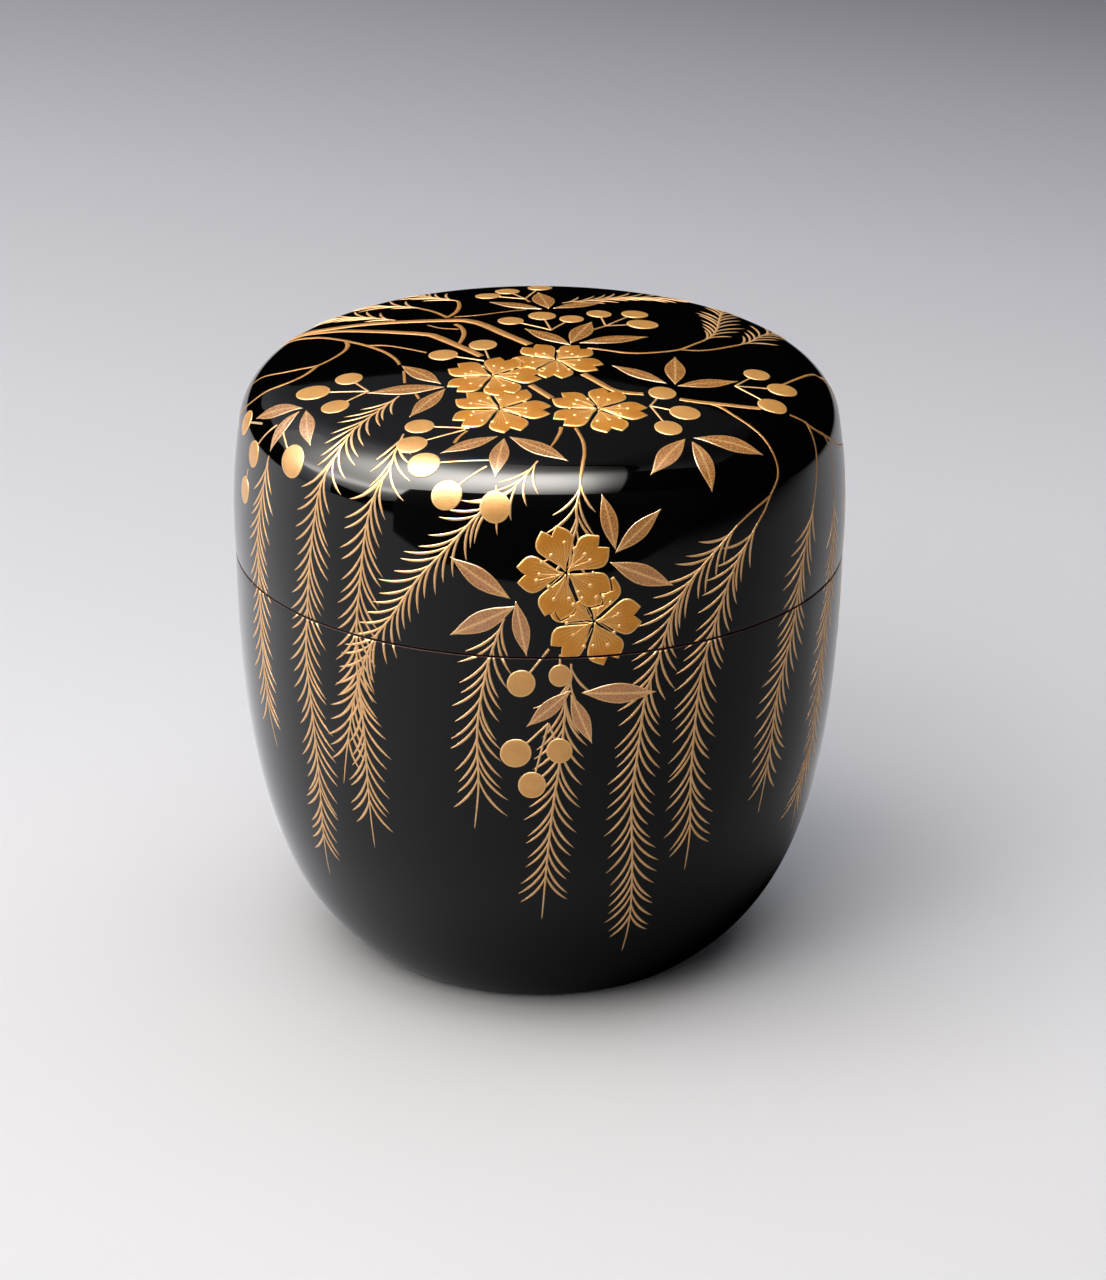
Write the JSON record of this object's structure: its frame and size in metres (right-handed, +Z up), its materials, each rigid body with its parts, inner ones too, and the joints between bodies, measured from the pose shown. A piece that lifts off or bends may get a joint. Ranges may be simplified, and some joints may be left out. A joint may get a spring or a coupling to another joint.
{
  "type": "lacquer tea caddy",
  "caption": "Round box for powdered tea, in black lacquer with gold willow and cherry, with a deep lid that lifts off a raised lip.",
  "frame": {"origin": "centre of the underside, on the axis of turning", "axes": "+Z up along the axis of turning, -Y towards the side that the picture shows"},
  "size_m": [0.066, 0.066, 0.068],
  "materials": {
    "black_lacquer": "turned wood under polished black lacquer",
    "gold_powder": "sprinkled gold powder, sealed and rubbed, satin",
    "rose_gold_powder": "thinly sprinkled reddish gold powder, satin"
  },
  "bodies": {
    "root": {"body": "black_lacquer", "lid": "black_lacquer"}
  },
  "joints": []
}
